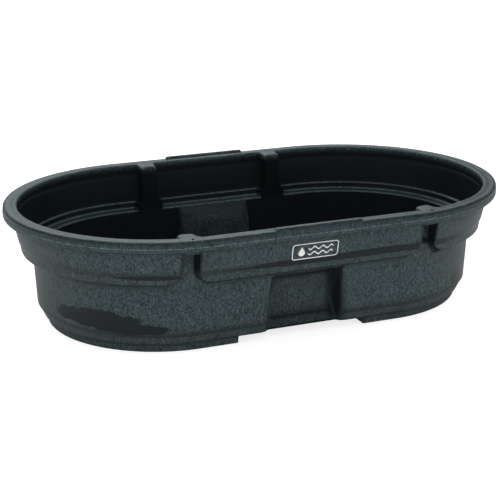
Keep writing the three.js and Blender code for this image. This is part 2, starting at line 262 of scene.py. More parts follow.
outside_section = rounded_line([
    (160, 0, 0, 1),
    (102, 0, 4, 4),
    (98, 20.4, 1, 3),
    (91.5, 22.4, 1, 1),
    (80, 47, 1.2, 4),
    (76.8, 50.5, 1.2, 1),
    (lower_mm(150), 150, 0, 9),
    (70.5, 168, 4, 8),
    (42, 188.5, 4, 7),
    (39.6, 206, 2.5, 5),
    (35.8, 216, 5, 2),
    (27.3, 254, 2, 5),
    (27, 262, 0, 3),
    (27, 264.6, 0, 1),
    (27, 265.4, 0, 1),
    (27, 268, 0, 1),
    (27, 297, 4, 1),
    (8, 297, 4, 1),
    (8, 275, 3, 2),
    (0.8, 279.5, 3, 1),
    (0.9, 287, 1, 1),
    (0, 288.8, 1, 1),
    (1.2, 290.6, 1, 1),
    (1.2, 305, 7, 1),
    (15.3, 305, 0, 1),
    (15.9, 305, 0, 1),
    (16.3, 305, 0, 1),
    (17, 305, 0, 1),
    (19, 305, 0, 1),
    (19.7, 305, 0, 1),
    (20.1, 305, 0, 1),
    (21, 305, 0, 1),
    (CREST, 305, 0, 1),
])
inside_section = rounded_line([
    (CREST, 305, 0, 1),
    (24.6, 305, 0, 1),
    (36, 305, 6, 1),
    (36, 278, 1.5, 3),
    (37.6, 275.6, 1.5, 1),
    (48.3, 203.5, 2.5, 8),
    (54.8, 201.2, 2.2, 2),
    (57.5, 188, 2.5, 3),
    (78.5, 181, 4.5, 3),
    (lower_mm(158) + 8, 158, 0, 7),
    (85, 52, 6, 9),
    (103, 30, 6, 3),
    (110, 8, 6, 3),
    (170, 8, 0, 4),
])
print("rows outside:", len(outside_section), "inside:", len(inside_section))

# %% [markdown]
# ## Stations round the trough
#
# The section is repeated at stations round the oval, close together where a channel, a pocket
# or a foot changes the shape and further apart where nothing happens. Each station is known by
# its side and by how far along X it meets the rim. Near the channels the stations stay square
# to X, as the channels' flanks do. Round the ends they turn until they point at the middle of
# the half round.

# %% Station places along X, in millimetres
NEAR_CHANNEL, FAR_CHANNEL = 314, 185
STRAIGHT_MM = STRAIGHT / MM
RADIUS_MM = HALF_WIDTH / MM


def spread(first, *stretches):
    """Places from a start through (end, spacing) stretches."""
    places = [first]
    for end, spacing in stretches:
        count = max(1, round((end - places[-1]) / spacing))
        places += list(np.linspace(places[-1], end, count + 1)[1:])
    return places


def channel_stretches(centre):
    """Stretches that are close together at the edges of a channel and of the rib behind it."""
    return [
        (centre - 47, 9), (centre - 32, 3), (centre - 24, 1.35), (centre - 21.5, 2.5),
        (centre - 15.5, 1), (centre, 5.2), (centre + 15.5, 5.2), (centre + 21.5, 1),
        (centre + 24, 2.5), (centre + 32, 1.35), (centre + 47, 3),
    ]


pocket_stretches = [(60, 12), (84, 3), (97, 1.2), (108, 1.8), (118, 1.3), (127, 3)]
foot_stretches = [(167, 8), (169.4, 1.2), (172.4, 0.5), (183, 2.1)]
arc_places = [STRAIGHT_MM + RADIUS_MM * math.sin(math.radians(angle))
              for angle in np.linspace(14.4, 90, 20)]
near_places = spread(0, *pocket_stretches, *foot_stretches, *channel_stretches(NEAR_CHANNEL))
far_places = spread(0, *pocket_stretches, *channel_stretches(FAR_CHANNEL), (STRAIGHT_MM, 10),
                    (350, 16))
far_places = sorted(set(far_places) | {169.4, 169.9, 170.4, 170.9, 171.4, 171.9, 172.4})
stations = []
for side, places in ((-1, near_places), (1, far_places)):
    half = [place for place in places if place < arc_places[0] - 2] + arc_places
    if side > 0:
        half = half[:-1]
    whole = [-place for place in reversed(half)] + half[1:]
    stations += [(side, place) for place in (whole if side < 0 else reversed(whole))]
station_side = np.array([side for side, place in stations])
station_x = np.array([place for side, place in stations])
print("stations:", len(stations))

# %% [markdown]
# ## Channels, ribs, pockets and feet
#
# Each feature is a share from 0 to 1 that says how far a point has moved from the plain section
# to the feature's own surface. A share comes from a rounded line too, so a channel's flank
# meets the band in a small radius, and the pocket's flank in a large one.

# %% Shares of the features
def reach_of(path, places):
    """Second coordinate of a path at given first coordinates, which may run either way."""
    order = np.argsort(path[:, 0], kind="stable")
    return np.interp(places, path[order, 0], path[order, 1])


FLANK_DEPTH = 32
channel_flank = rounded_line([
    (-20, FLANK_DEPTH, 0, 1), (-0.9, FLANK_DEPTH, 2.5, 1), (0.9, 0, 3.5, 1), (20, 0, 0, 1)])


def past_channel(x, side, height, half_width, corner, edge):
    """Distance beyond a channel's edge, whose corners round off the band's lower edge."""
    centre = np.where(side < 0, NEAR_CHANNEL, FAR_CHANNEL)
    rise = np.clip((edge + corner - height) / corner, 0, 1)
    widening = corner * (1 - np.sqrt(1 - rise ** 2))
    return np.abs(np.abs(x) - centre) - half_width - widening


def channel_share(distance):
    """1 in a channel and 0 on the band."""
    return reach_of(channel_flank, distance) / FLANK_DEPTH


POCKET_HALF, POCKET_FLARE, POCKET_TOP = 95, 10, 176
SHOULDER, KNEE = 148, 71


def flare_at(height):
    return POCKET_FLARE * np.clip((POCKET_TOP - height) / POCKET_TOP, 0, 1)


def pocket_table(places, growth):
    """Heights, and at each of them the pocket's share at all the given places along X."""
    corner_cut = 36 if growth else 24
    heights = np.array([0, 24, 48, 71, 84, 97, 110, 123, 136, 148, 154, 160, 166, 172, 175])
    rows = []
    for height in heights:
        from_top = POCKET_TOP - height
        side_turn = min(1, from_top / (POCKET_TOP - KNEE))
        mouth = POCKET_HALF + growth
        if height >= SHOULDER:
            share = from_top / (POCKET_TOP - SHOULDER)
            corner = (mouth - corner_cut * share, 48 * share)
            middle = 52 * share
        else:
            share = min(1, (SHOULDER - height) / (SHOULDER - KNEE))
            corner = (mouth - corner_cut + (corner_cut - 8) * share, 48 + 4 * share)
            middle = corner[1] - max(0, KNEE - height) * 18 / 49
        flank = (mouth - 8 * side_turn, 52 * side_turn)
        flare = flare_at(height)
        path = [(200, 0, 0, 1), (mouth, 0, 9 + 20 * from_top / POCKET_TOP, 1)]
        if height > KNEE:
            path.append((flank[0] - flare, min(flank[1], middle - 1), 7, 1))
            path.append((corner[0] - flare - 0.5, middle - 0.01, 7, 1))
        else:
            path.append((mouth - 8 + 8 * (KNEE - height) / KNEE - flare, middle, 9, 1))
        path.append((0, middle, 0, 1))
        rows.append(reach_of(rounded_line(path), np.abs(places)) / middle)
    return heights + growth * (heights >= KNEE), np.array(rows)


pocket_back = rounded_line([
    (56, 178.3, 0, 1), (61, 176, 4, 1), (118.5, 148, 9, 1), (122.5, 71, 7, 1), (104.5, 22, 0, 1)])
block_front = rounded_line([
    (58, 187, 0, 1), (65, 185, 4, 1), (125, 156, 10, 1), (130.5, 79, 7, 1), (112.5, 30, 0, 1)])
print("pocket's deepest inset:", round(pocket_back[:, 0].max(), 1), "mm")

# %% [markdown]
# ## Foam and painted light on the skin
#
# Each point carries a number that the material reads later. It is 1 on plain streaky foam.
# Where it dips toward 0 it paints shade in thin dark lines under ledges, in creases and at the
# lip's lower edge, and lower values between darken bands on the band and the lip. Low values all
# over the inside paint the shade of the inner walls. Above 1 it paints pale highlights on
# crests, ledges and the rim. The two tables give it at heights of the outer and the inner skin.

# %% Foam at each height
# Outside: dips toward 0 paint shade under ledges and in creases; values above 1 paint highlights.
OUTSIDE_FOAM_AND_LIGHT = [
    (0, 0.7), (19, 0.75), (20.4, 0), (23, 0), (25, 0.8), (45.5, 0.8), (47, 0.15), (50, 0),
    (52, 0.8), (60, 1), (180, 1), (183, 0.7), (185.5, 0.0), (188.2, 0.1), (190, 0.9), (205, 0.9),
    (207, 0.45), (217, 0.5), (224, 1), (272, 1), (275, 0), (279.4, 0.5), (281, 1), (287.3, 0.9),
    (288.6, 3.8), (290.6, 1), (293, 0.5), (300, 0.55), (303.5, 1), (305, 1.8), (311, 1.8)]
# Inside: low values paint the inner walls' shade; values above 1 paint highlights.
INSIDE_FOAM_AND_LIGHT = [
    (8, 0.2), (30, 0.1), (52, 0.1), (180, 0.1), (181, 2.2), (182.5, 2), (184, 0.5),
    (186, 0.5), (187.6, 2.8), (189, 0.6), (190.5, 0), (200, 0), (201, 1.6), (203, 2.2), (204, 0.1),
    (206, 0.05), (285, 0.05), (296, 0.6), (300, 1.5), (303, 2), (311, 2)]
print("foam is given at", len(OUTSIDE_FOAM_AND_LIGHT), "heights outside and", len(INSIDE_FOAM_AND_LIGHT), "inside")

# %% [markdown]
# ## Ribs inside, channels outside
#
# Outside, a channel takes the band back to the line of the lower wall. Inside, it shows as a rib
# that stands out from the wall, a wall's thickness in front of the channel. A rib narrows toward
# its top, and its corners round off into a crown just under the rim. These functions move points
# of the plain section by *inset* and by height.

# %% Ribs and channels
SKIN_GROWTH = WALL / MM
RIB_HALF, RIB_NARROWING, RIB_FOOT_HALF = 22, 7, 21.5
NARROWS_FROM, NARROWS_OVER = 258, 34
RIB_CORNER, RIB_LEDGE, RIB_FOOT = 14, 203.5, 170
CROWN_FLAT, CROWN_ROUND, CROWN_DROP = 8, 16, 11
CHANNEL_HALF, CHANNEL_CORNER, CHANNEL_TOP = 19, 25, 265.2
INNER_EDGE = 36


def smooth_share(values):
    """A soft step from 0 to 1."""
    inside = np.clip(values, 0, 1)
    return inside * inside * (3 - 2 * inside)


def with_ribs(x, side, inset, height):
    """Inset, height, and foam and painted light of the inner skin, with a rib behind each channel.
    """
    plain_height = height
    wall = lower_mm(height) + SKIN_GROWTH
    half_rib = RIB_HALF - RIB_NARROWING * smooth_share((height - NARROWS_FROM) / NARROWS_OVER)
    upper = channel_share(past_channel(x, side, height, half_rib, RIB_CORNER, RIB_LEDGE))
    lower = channel_share(past_channel(x, side, height, RIB_FOOT_HALF, RIB_CORNER, LEDGE_IN))
    share = np.maximum(upper, lower)
    share = share * smooth_share((height - RIB_FOOT) / 8)
    top = height > 296.9
    tongue = np.where(top, np.clip((inset - CREST) / 4, 0, 1), 1)
    shift = np.where(top, lower_mm(297) + SKIN_GROWTH - INNER_EDGE, wall - inset) * tongue
    centre = np.where(side < 0, NEAR_CHANNEL, FAR_CHANNEL)
    from_middle = np.clip((np.abs(np.abs(x) - centre) - CROWN_FLAT) / CROWN_ROUND, 0, 1)
    crown = 1 + CROWN_DROP * (1 - np.sqrt(1 - from_middle ** 2))
    near_top = smooth_share((height - 285) / 12)
    height = height - share * tongue * near_top * crown
    inset = inset + share * np.maximum(shift, 0)
    # Low values paint the inner walls' shade; values above 1 paint ledge and rim highlights.
    foam_and_painted_light = np.interp(plain_height, *np.transpose(INSIDE_FOAM_AND_LIGHT))
    return inset, height, foam_and_painted_light * np.where(plain_height > 290, 1, 1 - share)


def with_channels(x, side, inset, height):
    """Inset, height, and foam and painted light of the outer skin, with painted shade along each
    channel's edge.
    """
    wall = lower_mm(height)
    past = past_channel(x, side, height, CHANNEL_HALF, CHANNEL_CORNER, LEDGE_OUT)
    share = channel_share(past)
    share = share * np.clip((CHANNEL_TOP - height) / 0.4, 0, 1) * (height > 160)
    inset = inset + share * np.maximum(wall - inset, 0) * (height > 160)
    foam_and_painted_light = np.interp(height, *np.transpose(OUTSIDE_FOAM_AND_LIGHT)) * (1 - share) + share
    # Painted shade: a dark line in the crease along the channel's edge.
    contour = 1.3 * np.exp(-((past - 2) / 4.5) ** 2) * (height > 184) * (height < 272)
    return inset, height, foam_and_painted_light * np.clip(1 - contour, 0, 1)


print("ribs are", 2 * RIB_HALF, "mm wide and channels", 2 * CHANNEL_HALF, "mm")

# %% [markdown]
# ## The top of the rim
#
# The rim is dished, so that its two edges stand a little proud. In the middle of each long side
# its outer half rises into a flat pad instead, with a step down behind it.

# %% Dish and pads
PAD_HALF, PAD_STEP = 116, 3
DISH_DEPTH, DISH_CENTRE, DISH_HALF = 1.4, 19, 9


def with_rim_top(x, inset, height, plain_height, inner):
    """Height of the rim's top, dished or raised into a pad."""
    pad = smooth_share((PAD_HALF - np.abs(x)) / 6)
    if not inner:
        ridge = (height > 291) & (inset < 16)
        lifted = PAD_RISE / MM * np.clip((plain_height - 291) / 4, 0, 1)
        height = height + np.where(ridge, pad * lifted, 0)
        behind = (inset > 16.1) & (inset < 20) & (plain_height > 304)
        height = height - np.where(behind, PAD_STEP * pad, 0)
    from_crest = np.clip(np.abs(inset - DISH_CENTRE) / DISH_HALF, 0, 1)
    dished = (plain_height > 304.9) & (np.abs(inset - DISH_CENTRE) < DISH_HALF)
    return height - np.where(dished, DISH_DEPTH * (1 - from_crest ** 2) * (1 - pad), 0)


print("pads are", 2 * PAD_HALF, "mm long")

# %% [markdown]
# ## Pockets and feet
#
# Low in the middle of each side the wall goes back into a pocket, which shows inside as a block
# that stands out. The trough rests on two feet, and between them its underside, and the floor
# above it, are raised.

# %% Pockets and feet
OUTER_END, INNER_END = 160, 170
POCKET_CEILING, BLOCK_CEILING = 178.3, 186


def pocket_shares(rows, growth):
    """The pocket's share at the heights of all rows and at all stations."""
    heights, shares = pocket_table(station_x, growth)
    level = np.interp(rows, heights, np.arange(len(heights)))
    below = np.minimum(level.astype(int), len(heights) - 2)
    part = (level - below)[:, None]
    return shares[below] * (1 - part) + shares[below + 1] * part


def with_pocket(section, inset, plain_height, pocket, inner):
    """Inset with the pocket or its block, and how far a point under it slides with its toe."""
    face = block_front if inner else pocket_back
    target = np.interp(plain_height, face[::-1, 1], face[::-1, 0])
    in_pocket = plain_height < (BLOCK_CEILING if inner else POCKET_CEILING)
    step = (RAISED_FLOOR if inner else FOOT) / MM
    toe = face[-1, 0]
    under = plain_height <= (step if inner else 22.5)
    end = INNER_END if inner else OUTER_END
    slide = np.clip((end - inset) / (end - section[section[:, 1] <= step, 0].min()), 0, 1)
    base = section[np.argmin(np.abs(section[:, 1] - step - 0.2)), 0]
    inset = np.where(under, inset + pocket * slide * (toe - base),
                     inset + pocket * np.where(in_pocket, np.maximum(target - inset, 0), 0))
    return inset, in_pocket, np.where(under, slide, 1)


def with_feet(x, height, inner):
    """Height with the underside, or the floor, raised between the feet."""
    step = (RAISED_FLOOR if inner else FOOT) / MM
    foot_edge, slope = (178, 6) if inner else (171.2, 1.2)
    lift = np.clip((foot_edge - np.abs(x)) / slope + 0.5, 0, 1)
    return np.where(height < step, height + (step - height) * smooth_share(lift), height)


def pocket_foam_and_shade(x, side, foam_and_painted_light, plain_height, pocket, in_pocket, inner):
    """Foam on the block inside, less on its top as painted shade, and painted shade in the pocket.
    """
    if inner:
        # The block's top gets fewer streaks than its front, a painted shade.
        block = np.where(plain_height < 158, 0.75, 0.65) * smooth_share(pocket * 3) * in_pocket
        block = block * smooth_share((plain_height - 31) / 6)
        return np.maximum(foam_and_painted_light, block)
    # Painted shade in the pocket: on its flanks and roof, and a little over all of it.
    flank = 4 * pocket * (1 - pocket) * in_pocket
    shaded = smooth_share((-side * x - 60) / 16) * (plain_height > 30)
    roof_shade = np.maximum(smooth_share((plain_height - 146) / 8), shaded) * in_pocket * pocket
    return foam_and_painted_light * (1 - flank) * (1 - roof_shade) * (1 - 0.22 * pocket * in_pocket)


print("pocket's share in its middle:", round(float(pocket_shares([100], 0).max()), 2))

# %% [markdown]
# ## Placing the points
#
# The steps above follow one another for every row of the section at every station. Last of all
# the points are laid round the oval.

# %% From section to points
def on_the_oval(x, inset, height, side):
    """Metres in the shared frame, for points that are known by station, inset and height."""
    beyond = np.clip((np.abs(x) - STRAIGHT_MM) / RADIUS_MM, 0, 1)
    plain_angle = np.arcsin(beyond)
    square = np.arcsin(np.clip(beyond * RADIUS_MM / (RADIUS_MM - np.minimum(inset, 125)), 0, 1))
    squareness = 1 - smooth_share((plain_angle - math.radians(13)) / math.radians(24))
    angle = plain_angle + squareness * (square - plain_angle)
    ring = RADIUS_MM - inset
    flat_x = np.minimum(np.abs(x), STRAIGHT_MM)
    return np.stack([
        np.sign(x) * (flat_x + ring * np.sin(angle)),
        side * ring * np.cos(angle),
        height,
    ], axis=-1) * MM


def skin_points(section, inner):
    """Points of all rows of a section at all stations, and the foam and painted light at each."""
    inset = np.repeat(section[:, :1], len(stations), axis=1)
    plain_height = np.repeat(section[:, 1:], len(stations), axis=1)
    x = np.repeat(station_x[None, :], len(section), axis=0)
    side = station_side[None, :]
    growth = SKIN_GROWTH if inner else 0
    change = with_ribs if inner else with_channels
    inset, height, foam_and_painted_light = change(x, side, inset, plain_height)
    height = with_rim_top(x, inset, height, plain_height, inner)
    pocket = pocket_shares(plain_height[:, 0], growth)
    inset, in_pocket, slide = with_pocket(section, inset, plain_height, pocket, inner)
    height = with_feet(x, height, inner)
    foam_and_painted_light = pocket_foam_and_shade(x, side, foam_and_painted_light, plain_height, pocket, in_pocket, inner)
    step = (RAISED_FLOOR if inner else FOOT) / MM
    near_pocket = np.interp(np.abs(x), [30, 78, 112, 150], [0, 1, 1, 0])
    flare = flare_at(np.maximum(plain_height, step)) * slide
    x = x + np.sign(x) * flare * near_pocket * (plain_height < POCKET_TOP + growth)
    return on_the_oval(x, inset, height, side), foam_and_painted_light


outside_points, outside_foam_and_light = skin_points(outside_section, False)
inside_points, inside_foam_and_light = skin_points(inside_section, True)
skin = np.concatenate([outside_points, inside_points[1:]])
foam_and_painted_light = np.concatenate([outside_foam_and_light, inside_foam_and_light[1:]])
print("rows x stations:", skin.shape[:2])

# %% [markdown]
# ## One closed skin
#
# Four neighbouring points make a face. The two open rows that are left, under the trough and on
# its floor, are closed by flat faces that reach from one side to the other, cut where the feet
# begin. The normals are recalculated once the skin is closed, and faces are shaded smooth up to
# a fairly large angle, because the rounding is already in the mesh.

# %% Faces of the skin
row_count, station_count = skin.shape[:2]


def cross_faces(row, cuts):
    """Flat faces from the near side to the far side, between cuts along X."""
    made = []
    edges = [-HALF_LENGTH / MM - 1, *cuts, HALF_LENGTH / MM + 1]
    for left, right in zip(edges, edges[1:]):
        inside = (station_x >= left - 0.01) & (station_x <= right + 0.01)
        loop = [index for index in range(station_count) if inside[index]]
        made.append([row * station_count + index for index in loop])
    return made


def shared_cuts(low, high):
    """Places between two distances from the middle that both sides have a station at."""
    sides = [set(np.round(station_x[station_side == side], 4)) for side in (-1, 1)]
    return sorted(place for place in sides[0] & sides[1] if low <= abs(place) <= high)


faces = []
for row in range(row_count - 1):
    for station in range(station_count):
        after = (station + 1) % station_count
        corner = row * station_count
        faces.append((corner + station, corner + after,
                      corner + station_count + after, corner + station_count + station))
faces += cross_faces(0, shared_cuts(169, 173))
faces += cross_faces(row_count - 1, shared_cuts(169, 186))
body_mesh = bpy.data.meshes.new("tank_skin")
body_mesh.from_pydata(skin.reshape(-1, 3), [], faces)
foam_share = body_mesh.attributes.new("foam_and_painted_light", "FLOAT", "POINT")
foam_share.data.foreach_set("value", foam_and_painted_light.astype(np.float32).ravel())
tank_skin = bpy.data.objects.new("tank_skin", body_mesh)
bpy.context.collection.objects.link(tank_skin)


def activate(piece):
    """Select one piece alone, so that an operator acts on nothing else."""
    bpy.ops.object.select_all(action="DESELECT")
    piece.select_set(True)
    bpy.context.view_layer.objects.active = piece


activate(tank_skin)
bpy.ops.object.mode_set(mode="EDIT")
bpy.ops.mesh.select_all(action="SELECT")
bpy.ops.mesh.remove_doubles(threshold=0.00002)
bpy.ops.mesh.normals_make_consistent(inside=False)
bpy.ops.object.mode_set(mode="OBJECT")
bpy.ops.object.shade_smooth_by_angle(angle=math.radians(48))
tank_skin.data.calc_loop_triangles()
print("tank skin:", len(tank_skin.data.loop_triangles), "triangles")

# %% [markdown]
# ## Streaks in the foam
#
# Structural foam is shot into the mould as a froth. The bubbles that meet the cold wall burst
# and are dragged along it, which leaves short silvery streaks all over the skin. A noise that
# is stretched upright makes them. It is a shader node group, because the tank and other
# mouldings can each use it with their own size, stretch and strength.

# %% Helpers for node groups
def new_group(name, inputs, outputs):
    """A shader node group with number inputs and number outputs."""
    group = bpy.data.node_groups.new(name, "ShaderNodeTree")
    kind = "NodeSocketFloat"
    for label, value in inputs.items():
        socket = group.interface.new_socket(name=label, in_out="INPUT", socket_type=kind)
        socket.default_value = value
    for label in outputs:
        group.interface.new_socket(name=label, in_out="OUTPUT", socket_type=kind)
    return group, group.nodes.new("NodeGroupInput"), group.nodes.new("NodeGroupOutput")


def add_node(tree, kind, settings=None, **values):
    """A node with its settings and unlinked inputs. Underscores stand for spaces in names."""
    node = tree.nodes.new(kind)
    for name, value in (settings or {}).items():
        setattr(node, name, value)
    for name, value in values.items():
        node.inputs[name.replace("_", " ")].default_value = value
    return node


def add_math(tree, operation, first, second):
    """A Math node. Each operand is a number or a socket."""
    node = add_node(tree, "ShaderNodeMath", {"operation": operation})
    for index, operand in enumerate((first, second)):
        if isinstance(operand, (int, float)):
            node.inputs[index].default_value = operand
        else:
            tree.links.new(operand, node.inputs[index])
    return node.outputs[0]


print("node groups so far:", len(bpy.data.node_groups))

# %% A node group for streaks
streak_group, group_in, group_out = new_group(
    "foam_streaks", {"Scale": 250.0, "Stretch": 0.4, "Low": 0.35, "High": 0.7}, ["Streaks"])
place = add_node(streak_group, "ShaderNodeTexCoord").outputs["Object"]
squeeze = add_node(streak_group, "ShaderNodeCombineXYZ", X=1.0, Y=1.0)
streak_group.links.new(group_in.outputs["Stretch"], squeeze.inputs["Z"])
stretched = add_node(streak_group, "ShaderNodeVectorMath", {"operation": "MULTIPLY"})
streak_group.links.new(place, stretched.inputs[0])
streak_group.links.new(squeeze.outputs[0], stretched.inputs[1])
noise = add_node(streak_group, "ShaderNodeTexNoise", Detail=3.0, Roughness=0.65, Distortion=0.6)
streak_group.links.new(stretched.outputs[0], noise.inputs["Vector"])
streak_group.links.new(group_in.outputs["Scale"], noise.inputs["Scale"])
stepped = add_node(streak_group, "ShaderNodeMapRange", {"interpolation_type": "SMOOTHSTEP"})
streak_group.links.new(noise.outputs["Fac"], stepped.inputs["Value"])
streak_group.links.new(group_in.outputs["Low"], stepped.inputs["From Min"])
streak_group.links.new(group_in.outputs["High"], stepped.inputs["From Max"])
streak_group.links.new(stepped.outputs["Result"], group_out.inputs["Streaks"])
print("node groups:", [group.name for group in bpy.data.node_groups])

# %% [markdown]
# ## Resin patches and flow lines
# Along fine dark lines, where two streams of plastic met, the skin comes out dense, smooth and
# darker. A flow line is the thin contour of a large soft noise. A patch is an ellipse with a
# ragged edge on one side of the tank, inside which the streaks are taken away, so the skin is
# darker and smoother there. Low on the wall the patches are plain darker areas. The thin ones
# along the band's lower edge paint the shade of its downward-facing bottom.

# %% A node group for patches
patch_group, group_in, group_out = new_group(
    "dark_patch",
    {"Centre X": 0.0, "Centre Z": 0.1, "Half Length": 0.1, "Half Height": 0.03, "Side": -1.0},
    ["Around"])
place = add_node(patch_group, "ShaderNodeTexCoord").outputs["Object"]
axes = add_node(patch_group, "ShaderNodeSeparateXYZ")
patch_group.links.new(place, axes.inputs[0])
squares = []
for axis, centre, half in (("X", "Centre X", "Half Length"), ("Z", "Centre Z", "Half Height")):
    away = add_math(patch_group, "SUBTRACT", axes.outputs[axis], group_in.outputs[centre])
    share = add_math(patch_group, "DIVIDE", away, group_in.outputs[half])
    squares.append(add_math(patch_group, "MULTIPLY", share, share))
ragged = add_node(patch_group, "ShaderNodeTexNoise", Scale=34.0, Detail=4.0, Roughness=0.6)
patch_group.links.new(place, ragged.inputs["Vector"])
swell = add_math(patch_group, "MULTIPLY", ragged.outputs["Fac"], 1.5)
reach = add_math(patch_group, "ADD", add_math(patch_group, "ADD", *squares), swell)
edge = add_node(patch_group, "ShaderNodeMapRange", {"interpolation_type": "SMOOTHSTEP"},
                From_Min=1.6, From_Max=1.85)
patch_group.links.new(reach, edge.inputs["Value"])
sided = add_math(patch_group, "MULTIPLY", axes.outputs["Y"], group_in.outputs["Side"])
other_side = add_math(patch_group, "LESS_THAN", sided, 0.1)
around = add_math(patch_group, "MAXIMUM", edge.outputs["Result"], other_side)
patch_group.links.new(around, group_out.inputs["Around"])
print("patch group has", len(patch_group.nodes), "nodes")

# %% A node group for flow lines
FLOW_LEVEL, FLOW_LEAST = 0.56, 0.4
vein_group, group_in, group_out = new_group(
    "flow_lines", {"Scale": 7.0, "Width": 0.01}, ["Clear"])
place = add_node(vein_group, "ShaderNodeTexCoord").outputs["Object"]
soft = add_node(vein_group, "ShaderNodeTexNoise", Detail=2.0, Roughness=0.45, Distortion=0.5)
vein_group.links.new(place, soft.inputs["Vector"])
vein_group.links.new(group_in.outputs["Scale"], soft.inputs["Scale"])
off_line = add_math(vein_group, "ABSOLUTE", add_math(
    vein_group, "SUBTRACT", soft.outputs["Fac"], FLOW_LEVEL), 0)
line = add_math(vein_group, "DIVIDE", off_line, group_in.outputs["Width"])
clear = add_node(vein_group, "ShaderNodeMapRange", {"interpolation_type": "SMOOTHSTEP"},
                 To_Min=FLOW_LEAST)
vein_group.links.new(line, clear.inputs["Value"])
vein_group.links.new(clear.outputs["Result"], group_out.inputs["Clear"])
print("node groups:", [group.name for group in bpy.data.node_groups])

# %% [markdown]
# ## The foam
#
# The plastic itself is nearly black. Its grey comes from fine streaks that scatter light and are
# a little rougher than the resin between them. The mesh carries a number,
# *foam_and_painted_light*, that says where they show: hardly at all inside the tank, which paints
# shade on the inner walls, and little in thin lines of painted shade under ledges and in creases.
# The patches take the streaks away too, and above 1 the number adds a painted highlight. Noise on
# Object coordinates was chosen over a painted texture, because it has no seams and stays sharp
# close by.

# %% Helpers for materials
def new_material(name, colour, roughness):
    """A material with a Principled shader of a plain colour, and its node tree and shader."""
    material = bpy.data.materials.new(name)
    material.use_nodes = True
    shader = material.node_tree.nodes["Principled BSDF"]
    shader.inputs["Base Color"].default_value = (*colour, 1)
    shader.inputs["Roughness"].default_value = roughness
    return material, material.node_tree, shader


def add_group(tree, group, **values):
    """A placed node group with its own input values."""
    node = add_node(tree, "ShaderNodeGroup", {"node_tree": group})
    for name, value in values.items():
        node.inputs[name.replace("_", " ")].default_value = value
    return node


def mix_colour(tree, share, first, second):
    """A colour between two, each of them a triple or a socket."""
    node = add_node(tree, "ShaderNodeMix", {"data_type": "RGBA", "clamp_factor": False})
    tree.links.new(share, node.inputs["Factor"])
    for socket, colour in ((node.inputs[6], first), (node.inputs[7], second)):
        if isinstance(colour, tuple):
            socket.default_value = (*colour, 1)
        else:
            tree.links.new(colour, socket)
    return node.outputs[2]


print("materials so far:", [material.name for material in bpy.data.materials])

# %% Where the foam shows
# Each patch: middle along X, middle height, half length, half height, and -1 or 1 for its side.
# The three thin patches at a height of about 0.21 m paint shade on the band's downward bottom.
SHADE_AND_DARK_PATCHES = [
    (-0.500, 0.084, 0.080, 0.024, -1),
    (-0.430, 0.066, 0.085, 0.014, -1),
    (0.130, 0.212, 0.330, 0.010, -1),
    (-0.400, 0.2075, 0.080, 0.0055, -1),
    (0.510, 0.075, 0.080, 0.022, -1),
    (0.440, 0.062, 0.120, 0.026, 1),
    (-0.330, 0.070, 0.060, 0.030, 1),
    (-0.100, 0.212, 0.200, 0.009, 1),
]
foam, tree, shader = new_material("structural_foam", (0.02, 0.022, 0.022), 0.5)
foam_and_light_mask = add_node(tree, "ShaderNodeAttribute", {"attribute_name": "foam_and_painted_light"}).outputs["Fac"]
for centre_x, centre_z, half_length, half_height, side in SHADE_AND_DARK_PATCHES:
    patch = add_group(tree, patch_group, Centre_X=centre_x, Centre_Z=centre_z, Side=side,
                      Half_Length=half_length, Half_Height=half_height)
    foam_and_light_mask = add_math(tree, "MULTIPLY", foam_and_light_mask, patch.outputs["Around"])
print("resin patches:", len(SHADE_AND_DARK_PATCHES))

# %% Foam material
RESIN_COLOUR, STREAK_COLOUR = (0.0046, 0.0052, 0.0058), (0.049, 0.0725, 0.078)
SHEEN_TINT = (0.78, 0.97, 1, 1)
RESIN_ROUGHNESS, STREAK_ROUGHNESS = 0.29, 0.2
FINE_SHARE, LONG_SHARE, CLOUD_SHARE, HIGHLIGHT_SHARE = 0.8, 0.24, 0.1, 0.75
fine, long_streaks, clouds = (
    add_group(tree, streak_group, Scale=scale, Stretch=stretch, Low=low, High=high).outputs[0]
    for scale, stretch, low, high in (
        (340.0, 0.45, 0.4, 0.61), (140.0, 0.3, 0.3, 0.75), (7.0, 0.7, 0.3, 0.7)))
veins = add_group(tree, vein_group, Scale=8.0, Width=0.008).outputs["Clear"]
grain = add_math(tree, "MULTIPLY", fine, FINE_SHARE)
grain = add_math(tree, "ADD", grain, add_math(tree, "MULTIPLY", long_streaks, LONG_SHARE))
grain = add_math(tree, "ADD", grain, add_math(tree, "MULTIPLY", clouds, CLOUD_SHARE))
grain = add_math(tree, "MULTIPLY", grain, veins)
streaky = add_math(tree, "MULTIPLY", grain, add_math(tree, "MINIMUM", foam_and_light_mask, 1))
# Above 1, the number paints a pale highlight on crests, ledges and the rim.
painted_highlight = add_math(tree, "MAXIMUM", add_math(tree, "SUBTRACT", foam_and_light_mask, 1), 0)
painted_highlight = add_math(tree, "MULTIPLY", painted_highlight, add_math(tree, "ADD", grain, 0.15))
amount = add_math(tree, "ADD", streaky, add_math(tree, "MULTIPLY", painted_highlight, HIGHLIGHT_SHARE))
colour = mix_colour(tree, amount, RESIN_COLOUR, STREAK_COLOUR)
tree.links.new(colour, shader.inputs["Base Color"])
rough = add_math(tree, "MULTIPLY", amount, STREAK_ROUGHNESS)
rough = add_math(tree, "ADD", rough, RESIN_ROUGHNESS)
tree.links.new(rough, shader.inputs["Roughness"])
shader.inputs["Specular Tint"].default_value = SHEEN_TINT
bump = add_node(tree, "ShaderNodeBump", Strength=0.35, Distance=0.0006)
tree.links.new(amount, bump.inputs["Height"])
tree.links.new(bump.outputs["Normal"], shader.inputs["Normal"])
tank_skin.data.materials.append(foam)
print("foam has", len(tree.nodes), "nodes")

